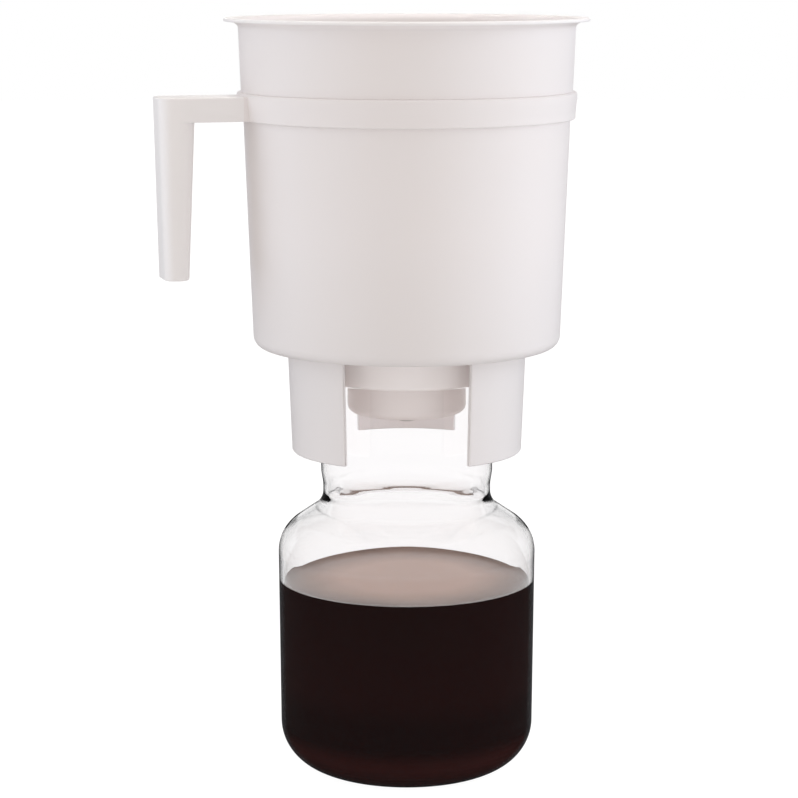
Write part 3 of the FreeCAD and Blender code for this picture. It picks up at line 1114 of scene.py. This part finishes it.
class BREWER_OT_stopper(bpy.types.Operator):
    """Rubber stopper: tapered plug, flange and pull knob"""

    bl_idname = "brewer.stopper"
    bl_label = "Drain Stopper"

    def execute(self, context):
        plug = DRAIN_RADIUS - STOPPER_GAP
        top = CUP_HEIGHT + STOPPER_PLUG
        flange_low = CUP_HEIGHT - STOPPER_FLANGE
        knob_low = flange_low - STOPPER_KNOB
        stopper = turned("drain_stopper", [
            (0, knob_low, 0),
            (STOPPER_KNOB_RADIUS, knob_low, EDGE_ROUND),
            (STOPPER_KNOB_RADIUS, flange_low, EDGE_ROUND),
            (STOPPER_FLANGE_RADIUS, flange_low, EDGE_ROUND),
            (STOPPER_FLANGE_RADIUS, CUP_HEIGHT, FINE_ROUND),
            (plug, CUP_HEIGHT, STEP_ROUND),
            (plug - STOPPER_TAPER, top, EDGE_ROUND),
            (0, top, 0),
        ], sectors=((360.0, STOPPER_STEPS),))
        finish_piece(stopper, stopper_rubber(context.scene.brewer_finishes), "stopper_body",
                     ["stopper"])
        return {"FINISHED"}


class BREWER_OT_plastics(bpy.types.Operator):
    """Shared effects and the two plastic finishes"""

    bl_idname = "brewer.plastics"
    bl_label = "Plastic Finishes"

    def execute(self, context):
        finishes = context.scene.brewer_finishes
        grain = moulded_grain_group()
        wear = edge_wear_group()
        for name in ("container_plastic", "handle_plastic"):
            moulded_plastic(name, finishes, grain, wear)
        return {"FINISHED"}


# ---------------------------------------------------------------- stage


def seen_mask(tree, rays=SEEN_RAYS):
    """1 for rays that show the background, 0 for rays that only light the object."""
    path = place(tree, "ShaderNodeLightPath").outputs
    seen = path[rays[0]]
    for ray in rays[1:]:
        seen = math_of(tree, "MAXIMUM", seen, path[ray])
    direct = math_of(tree, "LESS_THAN", path["Diffuse Depth"], 0.5)
    return math_of(tree, "MULTIPLY", seen, direct)


def split_by_ray(tree, out, lighting, reflected, seen):
    """Use one shader for light on the object, one in reflections and one in plain view."""
    glossy = mixed_shader(tree, seen_mask(tree, ("Is Glossy Ray",)), lighting, reflected)
    feed(tree, out, {"Surface": mixed_shader(tree, seen_mask(tree), glossy, seen)})


class BREWER_OT_stage(bpy.types.Operator):
    """White table top, white surroundings, soft lamps and the camera"""

    bl_idname = "brewer.stage"
    bl_label = "Stage"

    def table(self):
        """Round white table top that shows the object's soft shadow."""
        deselect_all()
        bpy.ops.mesh.primitive_circle_add(vertices=64, radius=TABLE_RADIUS, fill_type="NGON")
        table = named(bpy.context.object, "table_top")
        material = bpy.data.materials.new("table_white")
        tree, out = fresh_tree(material, "ShaderNodeOutputMaterial")
        diffuse = place(tree, "ShaderNodeBsdfDiffuse", {"Color": TABLE_SEEN}).outputs[0]
        glow = place(tree, "ShaderNodeEmission", {"Strength": TABLE_GLOW}).outputs[0]
        seen = place(tree, "ShaderNodeAddShader", {0: diffuse, 1: glow}).outputs[0]
        lighting = place(tree, "ShaderNodeBsdfDiffuse", {"Color": TABLE_LIT}).outputs[0]
        dim = place(tree, "ShaderNodeEmission", {"Strength": REFLECTED_TABLE}).outputs[0]
        split_by_ray(tree, out, lighting, dim, seen)
        table.data.materials.append(material)

    def reflected_room(self, tree):
        """Surroundings in reflections: a white backdrop behind, the rest of the room dim."""
        coords = place(tree, "ShaderNodeTexCoord").outputs["Generated"]
        aim = vector_of(tree, "NORMALIZE", "Vector", coords)
        back = mapped(tree, part_of(tree, aim, "Y"), start=-1.0)
        stops = [(position, (value, value, value)) for position, value in REFLECTED_ROOM]
        room = colour_ramp(tree, back, stops)
        return place(tree, "ShaderNodeBackground", {"Color": room, "Strength": 1.0}).outputs[0]

    def surroundings(self):
        """White world that lights the object with an even, slightly warm fill."""
        world = bpy.data.worlds.new("white_studio")
        bpy.context.scene.world = world
        tree, out = fresh_tree(world, "ShaderNodeOutputWorld")
        white, fill = (
            place(tree, "ShaderNodeBackground", {"Color": colour, "Strength": strength}).outputs[0]
            for colour, strength in (((1, 1, 1, 1), 1.0), (FILL_COLOUR, FILL)))
        split_by_ray(tree, out, fill, self.reflected_room(tree), white)

    def lamp(self, name, place_at, size, power, colour, spread):
        """Soft area lamp aimed at the middle of the object and hidden from glass and gloss."""
        aim = Vector(LAMP_AIM) - Vector(place_at)
        deselect_all()
        bpy.ops.object.light_add(
            type="AREA", location=place_at, rotation=aim.to_track_quat("-Z", "Y").to_euler())
        lamp = named(bpy.context.object, name)
        lamp.data.shape = "RECTANGLE"
        lamp.data.size, lamp.data.size_y = size
        lamp.data.energy = power
        lamp.data.color = colour
        lamp.data.spread = math.radians(spread)
        lamp.visible_glossy = False
        lamp.visible_transmission = False

    def camera(self):
        """Camera in front of the object and a little higher than its top."""
        deselect_all()
        tilt = math.radians(90 - CAMERA_PITCH)
        bpy.ops.object.camera_add(location=CAMERA_PLACE, rotation=(tilt, 0, 0))
        camera = bpy.context.object
        camera.name = "camera"
        camera.data.sensor_fit = "HORIZONTAL"
        camera.data.sensor_width = CAMERA_SENSOR
        camera.data.lens = CAMERA_SENSOR * FOCAL_PIXELS / PICTURE_PIXELS
        camera.data.clip_start, camera.data.clip_end = CAMERA_CLIP
        camera.data.dof.use_dof = False
        bpy.context.scene.camera = camera

    def execute(self, context):
        context.scene.view_settings.view_transform = "Standard"
        self.table()
        self.surroundings()
        for lamp in LAMPS:
            self.lamp(*lamp)
        self.camera()
        return {"FINISHED"}


class BREWER_PT_panel(bpy.types.Panel):
    """Buttons that build the brewer's pieces, with its sizes and finishes"""

    bl_idname = "BREWER_PT_panel"
    bl_label = "Cold Brew Coffee Maker"
    bl_space_type = "VIEW_3D"
    bl_region_type = "UI"
    bl_category = "Brewer"

    def draw(self, context):
        column = self.layout.column()
        for operator in OPERATORS:
            column.operator(operator.bl_idname)
        for group in (context.scene.brewer_sizes, context.scene.brewer_finishes):
            box = self.layout.box()
            for name in group.bl_rna.properties.keys():
                if name not in ("rna_type", "name"):
                    box.prop(group, name)


OPERATORS = (
    BREWER_OT_plastics,
    BREWER_OT_decanter,
    BREWER_OT_coffee,
    BREWER_OT_container,
    BREWER_OT_handle,
    BREWER_OT_felt,
    BREWER_OT_stopper,
    BREWER_OT_stage,
)
CLASSES = (BrewerSizes, BrewerFinishes, *OPERATORS, BREWER_PT_panel)


def register():
    for item in CLASSES:
        bpy.utils.register_class(item)
    bpy.types.Scene.brewer_sizes = PointerProperty(type=BrewerSizes)
    bpy.types.Scene.brewer_finishes = PointerProperty(type=BrewerFinishes)


def unregister():
    del bpy.types.Scene.brewer_finishes
    del bpy.types.Scene.brewer_sizes
    for item in reversed(CLASSES):
        bpy.utils.unregister_class(item)


def main():
    """Build every piece in order."""
    register()
    bpy.ops.brewer.plastics()
    bpy.ops.brewer.decanter()
    bpy.ops.brewer.coffee()
    bpy.ops.brewer.container()
    bpy.ops.brewer.handle()
    bpy.ops.brewer.felt()
    bpy.ops.brewer.stopper()
    bpy.ops.brewer.stage()


if __name__ == "__main__":
    main()
